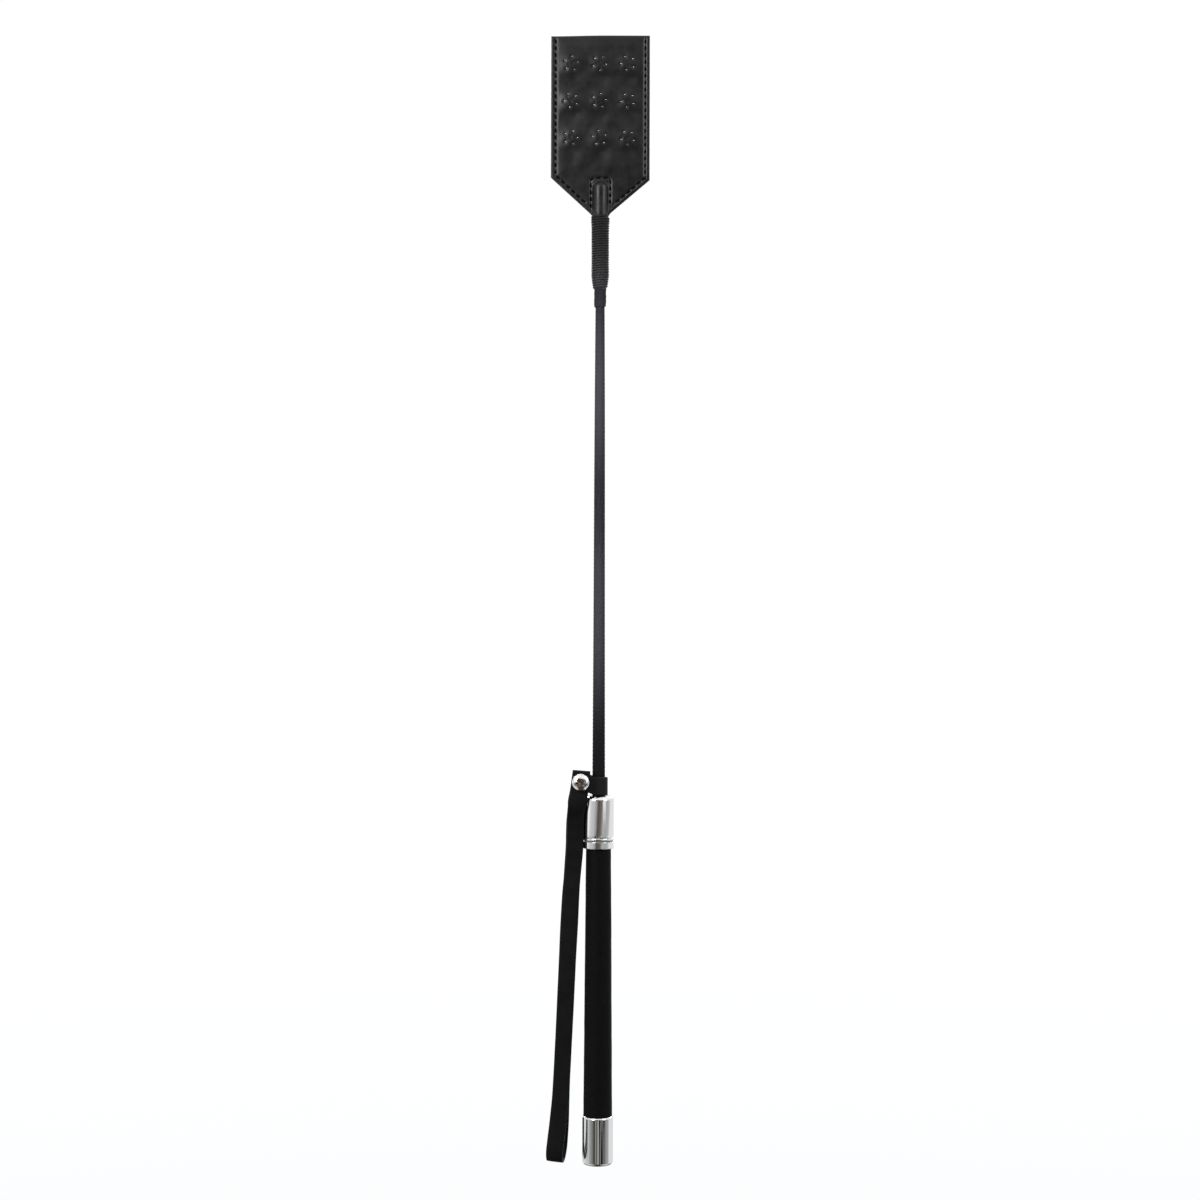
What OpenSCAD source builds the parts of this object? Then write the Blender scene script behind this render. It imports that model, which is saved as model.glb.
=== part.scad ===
// Riding crop with a folded leather tongue, a braided shaft, a rubber grip and a wrist loop.
// The shaft runs along +Z with the tip up, the origin is the centre of the butt face,
// the front of the tongue faces -Y, and the wrist loop hangs on the -X side.

/* [Handle] */
// Length of the end cap
cap_l = 27.4; // [24:0.2:32]
// Radius of the end cap
cap_r = 8.8; // [8.6:0.1:9.2]
// Length of the rubber grip
grip_l = 154.9; // [130:0.1:160]
// Radius of the grip at its lower end
grip_r_low = 8.2; // [7.8:0.1:8.4]
// Radius of the grip at its upper end
grip_r_top = 7.15; // [6.9:0.05:7.6]
// Length of the trim ring
ring_l = 5.2; // [4:0.1:6]
// Radius of the trim ring
ring_r = 9.1; // [9:0.1:9.4]
// Length of the front collar
collar_l = 24.7; // [22:0.1:28]
// Radius of the front collar
collar_r = 8.95; // [8.8:0.05:9]
// Radius of the core tube under the grip
core_r = 5.9; // [5.5:0.1:6.2]

/* [Shaft] */
// Radius of the braided shaft at the handle
shaft_r_low = 3.55; // [3.4:0.05:3.6]
// Radius of the braided shaft at the tip
shaft_r_top = 2.45; // [2.2:0.05:2.6]
// Thickness of the textile braid
braid_t = 0.8; // [0.6:0.1:1]
// Radius of the sleeve on the tip
sleeve_r = 3.45; // [3.3:0.05:3.6]
// Radius over the thread whipping
whip_r = 4.95; // [4.8:0.05:5.1]
// Height of one turn of the whipping thread
thread_pitch = 1.1; // [0.9:0.1:1.5]

/* [Tongue] */
// Overall length, from the butt face to the tip
overall_l = 650; // [620:1:700]
// Width of the tongue
flap_w = 56.6; // [50:0.2:60]
// Height of the tongue's straight sides
flap_side = 82; // [78:1:90]
// Thickness of the tongue over both leather layers
flap_t = 3.4; // [3:0.1:4]
// Width of the leather at the neck
neck_w = 11.2; // [10.4:0.2:12]
// Distance from a cut edge to its seam
seam_inset = 2.6; // [2:0.1:3.2]
// Distance from one stitch to the next
stitch_pitch = 4; // [3:0.5:5]
// Radius of a stud's domed head
stud_r = 4.75; // [4.5:0.05:5]
// Distance between studs across the tongue
stud_dx = 16.3; // [15:0.1:17]
// Distance between studs along the tongue
stud_dz = 21.4; // [20:0.1:22]

/* [Wrist loop] */
// Width of the wrist strap
strap_w = 9.7; // [9.2:0.1:10]
// Thickness of the wrist strap
strap_t = 1.1; // [0.9:0.1:1.1]
// Radius of the fold at the bottom of the loop, at the middle of the leather
fold_r = 7.8; // [7:0.1:8.2]
// Turn of the loop's lower end about its own length, in degrees
loop_turn = 8.5; // [0:0.5:10]
// Thickness of the keeper band
band_t = 1; // [0.8:0.1:1]
// Height of the keeper band
band_h = 10.6; // [10:0.1:11]
// Radius of the rivet's domed cap
rivet_cap_r = 5.05; // [4.8:0.05:5.2]

/* [Hidden] */

// Clearance between bodies that move past each other
gap = 0.3;
// Fineness of the turned parts
fine = 96;

// Heights along the handle
grip_z = cap_l;
ring_z = grip_z + grip_l;
collar_z = ring_z + ring_l;
collar_top = collar_z + collar_l;
core_z = 5;
core_top = collar_top - 6.2;
spacer_r = 8.3;
cap_wall = 0.6;
plug_r = cap_r - cap_wall - 0.05;

// Heights along the shaft
rod_z = 28;
taper_z = 226;
sleeve_z = overall_l - 156;
whip_z = sleeve_z + 9.5;
neck_z = sleeve_z + 53;
flap_z = overall_l - flap_side;
hinge_z = flap_z + 2;
tip_cap_z = neck_z + 9;
tip_end_z = neck_z + 18.4;
rod_end = tip_end_z - 3.4;
rod_r_low = shaft_r_low - braid_t;
rod_r_top = shaft_r_top - braid_t;
tail_r = 4.4;
tail_z = whip_z + 8;
lip_r = whip_r + 0.25;

// The tongue
half_t = flap_t / 2;
half_w = flap_w / 2;
half_neck = neck_w / 2;
slit = 0.1;
filler_t = 1;
filler_inset = 4.4;
pocket_r = sleeve_r + 1.2;
flex_v = 21;
seam_x = half_w - seam_inset;
stitch = [2.9, 0.35, 0.7];
stud_x0 = -0.8;
stud_z0 = overall_l - 59;
stud_h = 2.4;
prong_ring = 4.1;

// The keeper band, the rivet and the strap
ring_in = shaft_r_low + 0.2;
ring_out = ring_in + band_t;
keeper_z = collar_top + gap;
rivet_x = -10.2;
rivet_z = keeper_z + 8.3;
post_r = 1.6;
post_hole_r = post_r + 0.05;
strap_gap = 0.15;
strap_back = -5.5;
strap_y = strap_back - strap_t - strap_gap / 2;
strap_front = strap_back - 2 * strap_t - strap_gap;
front_tab_y = strap_front - gap - band_t / 2;
back_tab_y = strap_back + gap + band_t / 2;
tab_end = -15.2;
tab_r = 4.6;
// Height and sideways place of the loop's middle line, from the fold up to the cut ends
strap_line = [[5, -23.9], [10, -23.5], [14, -23.1], [23, -22.3], [37, -21.4], [56, -20.5],
    [83, -19.2], [102, -18.4], [130, -17.1], [157, -15.8], [166, -15.1], [175, -14.3], [182, -13.95],
    [193, -13.9], [200, -13.6], [203, -13.35], [206.5, -12.95], [210, -12.45], [213.5, -11.9],
    [220, -10.7], [228, -9.7]];
// Height and depth of the same line, which goes round the collar's side and then hangs
strap_depth = [[10, 1.6], [30, 1.3], [60, 0.6], [90, -0.2], [120, -1.1], [150, -2.2], [175, -3.4],
    [182, -3.8], [189, -3.95], [193, -4.15], [196, -4.4], [200, -4.8], [203, -5.25], [206.5, -5.85],
    [210, -6.45], [212.5, strap_y], [228, strap_y]];
strap_top = rivet_z + 6.3;
fold_z = 1.8 + fold_r + strap_t / 2;
strap_open_z = 200;
turn_z = 50;

function arc(cx, cy, r, a0, a1, n = 8) =
    [for (i = [0:n]) [cx + r * cos(a0 + (a1 - a0) * i / n), cy + r * sin(a0 + (a1 - a0) * i / n)]];

// 1 below the lower height, 0 above the upper one, and smooth between them
function ease(z, low, high) = (1 + cos(180 * min(1, max(0, (z - low) / (high - low))))) / 2;

module turned(profile) {
    rotate_extrude($fn = fine)
        polygon(profile);
}

// A solid turned about the Y direction through (x, z), profile given as radius and distance along -Y
module turned_y(x, z, profile) {
    translate([x, 0, z])
        rotate([90, 0, 0])
            turned(profile);
}

// ---- handle ----

module end_cap() {
    inner = cap_r - cap_wall;
    color("gainsboro")
        turned(concat(
            [[0, 0]],
            arc(cap_r - 1.3, 1.3, 1.3, -90, 0),
            arc(cap_r - 0.8, cap_l - 0.8, 0.8, 0, 90),
            [[7.2, cap_l], [7.2, cap_l - cap_wall], [inner, cap_l - 1.3]],
            [[inner, 1.4], [inner - 0.7, cap_wall], [0, cap_wall]]
        ));
}

module butt_plug() {
    color("dimgray")
        turned([[0, cap_wall], [plug_r - 0.9, cap_wall], [plug_r, 1.6], [plug_r, cap_l - 1.5],
            [core_r, cap_l - 1.5], [core_r, core_z], [0, core_z]]);
}

module handle_core() {
    color("saddlebrown")
        turned([[shaft_r_low, core_z], [core_r, core_z], [core_r, core_top], [shaft_r_low, core_top]]);
}

module rubber_grip() {
    round_r = 0.8;
    color("#1b1b1d")
        turned(concat(
            [[core_r, grip_z]],
            arc(grip_r_low - round_r, grip_z + round_r, round_r, -90, 0),
            arc(grip_r_top - round_r, ring_z - round_r, round_r, 0, 90),
            [[core_r, ring_z]]
        ));
}

module trim_ring() {
    edge = 0.7;
    color("gainsboro")
        turned(concat(
            [[spacer_r, ring_z]],
            arc(ring_r - edge, ring_z + edge, edge, -90, 0, 6),
            arc(ring_r - edge, collar_z - edge, edge, 0, 90, 6),
            [[spacer_r, collar_z]]
        ));
}

module front_collar() {
    shoulder = 3;
    wall = collar_r - spacer_r;
    color("gainsboro")
        turned(concat(
            [[spacer_r, collar_z], [collar_r - 0.3, collar_z], [collar_r, collar_z + 0.6]],
            arc(collar_r - shoulder, collar_top - shoulder, shoulder, 0, 90, 12),
            [[shaft_r_low + 0.1, collar_top], [shaft_r_low + 0.1, collar_top - wall]],
            arc(collar_r - shoulder, collar_top - shoulder, shoulder - wall, 90, 0, 12)
        ));
}

module collar_spacer() {
    spacer_top = collar_top - 3;
    color("dimgray")
        turned([[core_r, ring_z], [spacer_r, ring_z], [spacer_r, spacer_top],
            [shaft_r_low, spacer_top], [shaft_r_low, core_top], [core_r, core_top]]);
}

// ---- shaft ----

module rod_core() {
    color("khaki")
        turned([[0, rod_z], [rod_r_low, rod_z], [rod_r_low, taper_z], [rod_r_top, sleeve_z],
            [rod_r_top, rod_end], [0, rod_end]]);
}

module braided_sleeve() {
    color("#2b2b2e")
        turned([[rod_r_low, rod_z], [shaft_r_low, rod_z], [shaft_r_low, taper_z],
            [shaft_r_top, sleeve_z], [shaft_r_top, tip_cap_z], [rod_r_top, tip_cap_z],
            [rod_r_top, sleeve_z], [rod_r_low, taper_z]]);
}

module tip_sleeve() {
    color("#1f1f21")
        turned([[shaft_r_top, sleeve_z], [sleeve_r - 0.3, sleeve_z], [sleeve_r, sleeve_z + 0.5],
            [sleeve_r, tip_cap_z], [shaft_r_top, tip_cap_z]]);
}

module rod_tip_cap() {
    color("#1f1f21")
        turned(concat(
            [[rod_r_top, tip_cap_z], [sleeve_r, tip_cap_z]],
            arc(sleeve_r - 1.6, tip_end_z - 1.6, 1.6, 0, 90),
            [[0, tip_end_z], [0, rod_end], [rod_r_top, rod_end]]
        ));
}

// Radius over the whipping at a height: a short cone, then a slightly hollow barrel with a lip
function whip_outer(z) =
    z < whip_z + 10
        ? sleeve_r + 0.25 + (whip_r - sleeve_r - 0.25) * (z - whip_z) / 10
        : whip_r + (lip_r - whip_r) * max(0, (z - neck_z + 12) / 12);

module whipping_thread() {
    turns = round((neck_z - whip_z) / thread_pitch);
    pitch = (neck_z - whip_z) / turns;
    root = 0.15;
    color("#242427")
        turned(concat(
            [[sleeve_r, whip_z]],
            [for (i = [0:turns - 1], k = [0, 0.5])
                let (z = whip_z + (i + k) * pitch)
                [whip_outer(z) - (k == 0 ? root : 0), z]],
            [[whip_outer(neck_z) - root, neck_z], [tail_r, neck_z], [tail_r, tail_z]],
            [[sleeve_r, tail_z]]
        ));
}

// ---- tongue ----

// Outline of the leather seen from the front, from the neck to the tip
module flap_outline() {
    polygon([[-half_neck, neck_z], [half_neck, neck_z], [half_w, flap_z], [half_w, overall_l],
        [-half_w, overall_l], [-half_w, flap_z]]);
}

// A plate over the outline between two distances along Y
module plate(y0, y1) {
    translate([0, y1, 0])
        rotate([90, 0, 0])
            linear_extrude(y1 - y0)
                children();
}

// What lies above (side 1) or below (side -1) the line where the tongue bends.
// Both faces slope away from the line, which leaves room for the bend.
module beyond_flex(side) {
    reach = 10;
    tall = 120;
    rise = reach * tan(flex_v);
    translate([-half_w - 1, 0, hinge_z])
        rotate([90, 0, 90])
            linear_extrude(flap_w + 2)
                polygon([[0, side * gap / 2], [reach, side * (gap / 2 + rise)],
                    [reach, side * tall], [-reach, side * tall], [-reach, side * (gap / 2 + rise)]]);
}

// The rod's tip with its sleeve and its cap
module tip_space() {
    turned(concat(
        [[0, whip_z], [sleeve_r, whip_z]],
        arc(sleeve_r - 1.6, tip_end_z - 1.6, 1.6, 0, 90),
        [[0, tip_end_z]]
    ));
}

// One end of the leather strip: side -1 is the front, side 1 the back
module neck_half(side) {
    tail_gap = 0.4;
    difference() {
        union() {
            intersection() {
                plate(min(0, side * half_t), max(0, side * half_t))
                    flap_outline();
                beyond_flex(-1);
            }
            intersection() {
                union() {
                    turned(concat(
                        [[0, neck_z], [pocket_r, neck_z]],
                        arc(pocket_r - 2.2, tip_end_z - 1, 2.2, 0, 90),
                        [[0, tip_end_z + 1.2]]
                    ));
                    translate([0, 0, tail_z])
                        cylinder(r = tail_r, h = neck_z - tail_z + 0.5, $fn = fine);
                }
                translate([-20, side > 0 ? tail_gap / 2 : -20, tail_z])
                    cube([40, 20 - tail_gap / 2, 80]);
            }
        }
        tip_space();
        translate([-30, -slit / 2, neck_z - 1])
            cube([60, slit, 40]);
    }
}

module flap_front_neck() {
    color("#2a2a2d")
        neck_half(-1);
}

module flap_back_neck() {
    color("#2a2a2d")
        neck_half(1);
}

// The strip folded over at the tip, with the slit between its layers and the filler's space
module flap_cover() {
    filler_w = flap_w - 2 * filler_inset;
    color("#2d2d30")
        difference() {
            intersection() {
                union() {
                    plate(-half_t, half_t)
                        translate([-half_w, flap_z])
                            square([flap_w, flap_side - half_t]);
                    translate([-half_w, 0, overall_l - half_t])
                        rotate([0, 90, 0])
                            cylinder(r = half_t, h = flap_w, $fn = fine);
                }
                beyond_flex(1);
            }
            translate([-half_w - 1, -slit / 2, hinge_z - 1])
                cube([flap_w + 2, slit, flap_side - 3]);
            translate([-filler_w / 2, -filler_t / 2, hinge_z - 1])
                cube([filler_w, filler_t, flap_side - 4]);
        }
}

module flap_filler() {
    filler_w = flap_w - 2 * filler_inset;
    color("gray")
        translate([-filler_w / 2, -filler_t / 2, hinge_z + 1])
            cube([filler_w, filler_t, flap_side - 6]);
}

// One stitch that lies on the leather, on the front and on the back
module stitch_at(x, z, angle) {
    for (side = [-1, 1])
        translate([x, side * (half_t + stitch[1] / 2), z])
            rotate([0, -angle, 0])
                cube(stitch, center = true);
}

module edge_stitching() {
    count = floor((flap_side - 6) / stitch_pitch);
    color("black")
        for (side = [-1, 1], i = [0:count - 1])
            stitch_at(side * seam_x, flap_z + 5 + i * stitch_pitch, 90);
}

module neck_stitching() {
    slope = atan2(flap_z - neck_z, half_w - half_neck);
    length = norm([flap_z - neck_z, half_w - half_neck]);
    count = floor((length - 5) / stitch_pitch);
    color("black")
        for (side = [-1, 1], i = [0:count - 1]) {
            along = 3.4 + i * stitch_pitch;
            x = half_w - seam_inset * sin(slope) - along * cos(slope);
            z = flap_z + seam_inset * cos(slope) - along * sin(slope);
            stitch_at(side * x, z, side * slope);
        }
}

module pocket_stitching() {
    corner = 1.4;
    color("black") {
        for (side = [-1, 1], i = [0:3])
            stitch_at(side * half_neck, neck_z + 7.2 + i * stitch_pitch, 90);
        for (side = [-1, 1])
            stitch_at(side * (half_neck - corner), tip_end_z + 1.7, -side * 45);
        stitch_at(0, tip_end_z + 2.9, 0);
    }
}

// One prong-back stud: the head on the back, five prongs through the leather, folded on the front
module dome_stud(phase) {
    head_sphere_r = (stud_r * stud_r + stud_h * stud_h) / (2 * stud_h);
    head_angle = asin(stud_r / head_sphere_r);
    prong = [0.4, 1.1];
    prong_root = 0.3;
    translate([0, half_t, 0])
        rotate([-90, 0, 0])
            turned(concat(
                [[0, 0], [stud_r, 0]],
                arc(0, stud_h - head_sphere_r, head_sphere_r, 90 - head_angle, 90, 10)
            ));
    for (k = [0:4])
        rotate([0, phase + 72 * k, 0]) {
            translate([prong_ring - prong[0] / 2, -half_t - 0.35, -prong[1] / 2])
                cube([prong[0], flap_t + 0.35 + prong_root, prong[1]]);
            translate([prong_ring - 1.1, -half_t - 0.35, -prong[1] / 2])
                cube([1.1, 0.35, prong[1]]);
        }
}

module dome_studs() {
    color("silver")
        for (ix = [-1:1], iz = [0:2])
            translate([stud_x0 + ix * stud_dx, 0, stud_z0 + iz * stud_dz])
                dome_stud(31 * ix + 23 * iz);
}

// ---- keeper band, rivet and strap ----

module keeper_ring() {
    color("#1d1d1f")
        turned([[ring_in, keeper_z], [ring_out, keeper_z], [ring_out, keeper_z + band_h],
            [ring_in, keeper_z + band_h]]);
}

// A strip that runs flat at y, bends at the angle and goes tangent to the ring
module tab_plan(y, angle, turn) {
    middle = (ring_in + ring_out) / 2;
    function on_line(r, level) =
        let (px = -turn * r * sin(angle), py = turn * r * cos(angle), s = (level - py) / sin(angle))
        [px + s * cos(angle), level];
    function tangent(r) = [-turn * r * sin(angle), turn * r * cos(angle)];
    half = band_t / 2;
    outer = middle + half;
    inner = middle - half;
    polygon([[tab_end, y + turn * half], on_line(outer, y + turn * half), tangent(outer),
        tangent(inner), on_line(inner, y - turn * half), [tab_end, y - turn * half]]);
}

module keeper_tabs() {
    front_angle = 48;
    back_angle = 67;
    top = keeper_z + band_h;
    color("#1d1d1f")
        difference() {
            intersection() {
                translate([0, 0, keeper_z])
                    linear_extrude(20) {
                        tab_plan(front_tab_y, front_angle, -1);
                        tab_plan(back_tab_y, back_angle, 1);
                    }
                plate(-20, 20)
                    union() {
                        translate([rivet_x, rivet_z])
                            circle(r = tab_r, $fn = fine);
                        polygon([[rivet_x, rivet_z - tab_r], [-2.8, keeper_z], [6, keeper_z],
                            [6, top], [-2.8, top + 0.9], [rivet_x, rivet_z + tab_r]]);
                    }
            }
            cylinder(r = ring_out + gap, h = 1000, $fn = fine);
            turned_y(rivet_x, rivet_z, [[0, -5], [post_r, -5], [post_r, 20], [0, 20]]);
        }
}

module rivet_cap() {
    base = -front_tab_y + band_t / 2;
    rise = 2.7;
    sphere_r = (rivet_cap_r * rivet_cap_r + rise * rise) / (2 * rise);
    half_angle = asin(rivet_cap_r / sphere_r);
    color("gainsboro")
        turned_y(rivet_x, rivet_z, concat(
            [[post_r, base], [rivet_cap_r, base]],
            arc(0, base + rise - sphere_r, sphere_r, 90 - half_angle, 90, 10),
            [[0, base + 1.2], [post_r, base + 1.2]]
        ));
}

module rivet_post() {
    rear = -back_tab_y - band_t / 2;
    front = -front_tab_y + band_t / 2 + 1.2;
    flange_r = 3.1;
    color("gainsboro")
        turned_y(rivet_x, rivet_z, [[0, rear - 0.9], [flange_r - 0.4, rear - 0.9],
            [flange_r, rear - 0.4], [flange_r, rear], [post_r, rear], [post_r, front], [0, front]]);
}

// The strap is a row of rectangular sections: down the front layer, round the fold, up the back layer.
// Each section is its centre, its direction across the strap and its direction through the leather.
function strap_x(z) = lookup(z, strap_line);
function strap_lean(z) = atan2(strap_x(z + 3) - strap_x(z - 3), 6);
function across(z) =
    let (a = strap_lean(z), t = loop_turn * ease(z, fold_z, turn_z))
    [cos(a) * cos(t), -sin(t), -sin(a) * cos(t)];
function through(z) =
    let (a = strap_lean(z), t = loop_turn * ease(z, fold_z, turn_z))
    [cos(a) * sin(t), cos(t), -sin(a) * sin(t)];
function down(z) = let (a = strap_lean(z)) [-sin(a), 0, -cos(a)];
function centre(z) = [strap_x(z), lookup(z, strap_depth), z];
function half_gap(z) =
    let (closed = (strap_t + strap_gap) / 2)
    closed + (fold_r - closed) * ease(z, fold_z, strap_open_z);
function layer(z, side) = [centre(z) + side * half_gap(z) * through(z), across(z), through(z) * side];
function fold(a) =
    let (out = sin(a) * down(fold_z) - cos(a) * through(fold_z))
    [centre(fold_z) + fold_r * out, across(fold_z), out];
function corners(s) =
    [for (c = [[-1, -1], [1, -1], [1, 1], [-1, 1]])
        s[0] + c[0] * strap_w / 2 * s[1] + c[1] * strap_t / 2 * s[2]];

module wrist_strap() {
    levels = concat([strap_top, 220, 216, 212.5, 210, 208, 206, 203, 200, 196, 192, 187, 181],
        [for (i = [1:16]) 181 + (fold_z - 181) * i / 16]);
    steps = len(levels) - 1;
    bends = 12;
    sections = concat(
        [for (z = levels) layer(z, -1)],
        [for (i = [1:bends - 1]) fold(180 * i / bends)],
        [for (i = [steps:-1:0]) layer(levels[i], 1)]
    );
    last = len(sections) - 1;
    sides = [for (i = [0:last - 1], k = [0:3])
        let (a = 4 * i + k, b = 4 * i + (k + 1) % 4)
        each [[a, b, b + 4], [a, b + 4, a + 4]]];
    color("#19191b")
        difference() {
            polyhedron(
                points = [for (s = sections) each corners(s)],
                faces = concat([[3, 2, 1, 0]], sides, [[for (k = [0:3]) 4 * last + k]])
            );
            turned_y(rivet_x, rivet_z, [[0, 4], [post_hole_r, 4], [post_hole_r, 9], [0, 9]]);
        }
}

end_cap();
butt_plug();
handle_core();
rubber_grip();
trim_ring();
front_collar();
collar_spacer();
rod_core();
braided_sleeve();
tip_sleeve();
rod_tip_cap();
whipping_thread();
flap_front_neck();
flap_back_neck();
neck_stitching();
pocket_stitching();
flap_cover();
flap_filler();
edge_stitching();
dome_studs();
keeper_ring();
keeper_tabs();
rivet_cap();
rivet_post();
wrist_strap();
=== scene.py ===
"""The look of a riding crop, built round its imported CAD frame.

Lengths are metres in the row frame: +Z up the shaft from the butt to the tip, -Y out of the
tongue's front face, -X the side on which the wrist loop hangs. Shapes are worked out in
millimetres and scaled once, when a mesh is made.
"""

import math
import random

import bpy
import numpy as np
from mathutils import Euler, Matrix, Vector


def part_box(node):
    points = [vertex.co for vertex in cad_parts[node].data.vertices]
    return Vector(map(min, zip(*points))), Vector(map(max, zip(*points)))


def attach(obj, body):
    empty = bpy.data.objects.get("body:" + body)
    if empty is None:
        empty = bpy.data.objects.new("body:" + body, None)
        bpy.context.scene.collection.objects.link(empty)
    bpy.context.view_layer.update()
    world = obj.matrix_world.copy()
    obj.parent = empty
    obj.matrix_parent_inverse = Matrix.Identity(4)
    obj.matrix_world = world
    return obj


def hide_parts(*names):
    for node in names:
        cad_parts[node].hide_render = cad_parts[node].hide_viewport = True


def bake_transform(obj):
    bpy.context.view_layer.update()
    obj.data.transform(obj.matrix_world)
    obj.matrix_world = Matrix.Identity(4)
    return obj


MM = 0.001

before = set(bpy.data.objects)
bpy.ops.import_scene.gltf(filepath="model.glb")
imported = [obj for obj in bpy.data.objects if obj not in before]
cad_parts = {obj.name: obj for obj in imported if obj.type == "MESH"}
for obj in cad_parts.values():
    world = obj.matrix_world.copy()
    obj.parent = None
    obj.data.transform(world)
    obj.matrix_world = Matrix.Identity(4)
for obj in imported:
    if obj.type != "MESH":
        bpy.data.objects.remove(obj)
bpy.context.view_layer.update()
scene = bpy.context.scene


def box_mm(node):
    """Lowest and highest corner of a CAD node, in millimetres."""
    low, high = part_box(node)
    return np.array(low) / MM, np.array(high) / MM


rivet_low, rivet_high = box_mm("rivet_cap")
RIVET_X, _, RIVET_Z = (rivet_low + rivet_high) / 2


# ---- camera ----

CAMERA_X = 0.00045
CAMERA_DISTANCE = 1.316
CAMERA_HEIGHT = 0.3252
CAMERA_LENS = 68.55
CAMERA_ROLL = math.radians(-0.17)

camera_data = bpy.data.cameras.new("camera")
camera_data.lens = CAMERA_LENS
camera_data.sensor_width = 36
camera = bpy.data.objects.new("camera", camera_data)
camera.location = (CAMERA_X, -CAMERA_DISTANCE, CAMERA_HEIGHT)
camera.rotation_euler = Euler((math.radians(90), CAMERA_ROLL, 0), "XYZ")
scene.collection.objects.link(camera)
scene.camera = camera
scene.view_settings.view_transform = "Standard"


# ---- material helpers ----

def rgba(color):
    """A color with its alpha. Another node's output stays as it is."""
    return (*color, 1) if isinstance(color, tuple) else color


class Nodes:
    """Builds a node tree. A value is a number, a tuple or another node's output."""

    def __init__(self, tree):
        self.tree = tree

    def feed(self, socket, value):
        if isinstance(value, bpy.types.NodeSocket):
            self.tree.links.new(value, socket)
        else:
            socket.default_value = value

    def add(self, kind, output, inputs, **settings):
        """One output of a new node, which is given its settings and inputs."""
        node = self.tree.nodes.new(kind)
        for name, value in settings.items():
            setattr(node, name, value)
        for name, value in inputs.items():
            self.feed(node.inputs[name], value)
        return node.outputs[output]

    def split(self, vector):
        """The three parts of a vector."""
        node = self.tree.nodes.new("ShaderNodeSeparateXYZ")
        self.feed(node.inputs["Vector"], vector)
        return node.outputs

    def math(self, operation, *values):
        return self.add("ShaderNodeMath", "Value", dict(enumerate(values)), operation=operation)

    def remap(self, value, low, high, to_low=0, to_high=1, kind="LINEAR"):
        """A value carried from one range to another and held at its ends."""
        inputs = {"Value": value, "From Min": low, "From Max": high, "To Min": to_low, "To Max": to_high}
        return self.add("ShaderNodeMapRange", "Result", inputs, interpolation_type=kind)

    def mix(self, factor, first, second):
        inputs = {"Factor": factor, "A": rgba(first), "B": rgba(second)}
        return self.add("ShaderNodeMix", "Result", inputs, data_type="RGBA")

    def ramp(self, value, stops):
        """A color that runs through stops of (position, color)."""
        node = self.tree.nodes.new("ShaderNodeValToRGB")
        elements = node.color_ramp.elements
        while len(elements) < len(stops):
            elements.new(0.5)
        for element, (position, color) in zip(elements, stops):
            element.position = position
            element.color = rgba(color)
        self.feed(node.inputs["Fac"], value)
        return node.outputs["Color"]


class Look(Nodes):
    """A Principled material in the row frame's coordinates."""

    def __init__(self, name, color, roughness, metallic=0.0, specular=0.5):
        self.material = bpy.data.materials.new(name)
        self.material.use_nodes = True
        super().__init__(self.material.node_tree)
        self.set("Base Color", rgba(color))
        self.set("Roughness", roughness)
        self.set("Metallic", metallic)
        self.set("Specular IOR Level", specular)
        self.place = self.add("ShaderNodeTexCoord", "Object", {})
        self.normal = None

    def set(self, name, value):
        """Gives one input of the shader a value."""
        self.feed(self.tree.nodes["Principled BSDF"].inputs[name], value)

    def stretched(self, scale):
        """The coordinates times a scale in each direction."""
        return self.add("ShaderNodeMapping", "Vector", {"Vector": self.place, "Scale": scale})

    def noise(self, scale, detail=3.0, roughness=0.55, where=None):
        inputs = {"Vector": where or self.place, "Scale": scale, "Detail": detail, "Roughness": roughness}
        return self.add("ShaderNodeTexNoise", "Fac", inputs)

    def cells(self, scale):
        """Distance to the nearest wall between cells."""
        inputs = {"Vector": self.place, "Scale": scale}
        return self.add("ShaderNodeTexVoronoi", "Distance", inputs, feature="DISTANCE_TO_EDGE")

    def painted_reflection_spot(self, centre, inner_r=0.0018, outer_r=0.0034):
        """0 inside a ragged spot round an axis along Y, and 1 outside it."""
        x, _, z = self.split(self.place)
        squares = [self.math("POWER", self.math("SUBTRACT", v, c), 2) for v, c in zip((x, z), centre)]
        ragged = self.math("MULTIPLY_ADD", self.noise(1100, 3, 0.7), 0.0050, -0.0021)
        radius = self.math("ADD", self.math("SQRT", self.math("ADD", *squares)), ragged)
        return self.remap(radius, inner_r, outer_r)

    def colors(self, factor, first, second):
        """The base color runs from first to second with the factor."""
        self.set("Base Color", self.mix(factor, first, second))

    def roughness(self, factor, low, high):
        self.set("Roughness", self.remap(factor, 0.3, 0.7, low, high))

    def bump(self, height, strength, distance):
        """Adds a bump to those before it."""
        inputs = {"Strength": strength, "Distance": distance, "Height": height}
        if self.normal:
            inputs["Normal"] = self.normal
        self.normal = self.add("ShaderNodeBump", "Normal", inputs)
        self.set("Normal", self.normal)


def leather(name, dark, light, roughness, grain=1600.0, grain_depth=0.00005, specular=0.32):
    """Smooth leather: fine pebbled grain, faint creases, and soft patches of tone and gloss."""
    look = Look(name, dark, roughness, specular=specular)
    patches = look.noise(70, 4)
    look.colors(look.remap(patches, 0.3, 0.7), dark, light)
    look.roughness(look.noise(160, 5), roughness - 0.07, roughness + 0.1)
    look.bump(look.noise(240, 4, 0.6), 0.10, 0.0002)
    look.bump(look.cells(grain), 0.5, grain_depth)
    return look.material


# Painted reflection: the brown in the middle of the rivet's dome stands in for the warm, dark studio front
# that the chrome mirrors; it is not worn plating.
REFLECTED_BROWN = (0.50, 0.39, 0.33)
REFLECTION_DROP = 0.5  # how far below the rivet's middle the painted brown reflection lies


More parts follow.
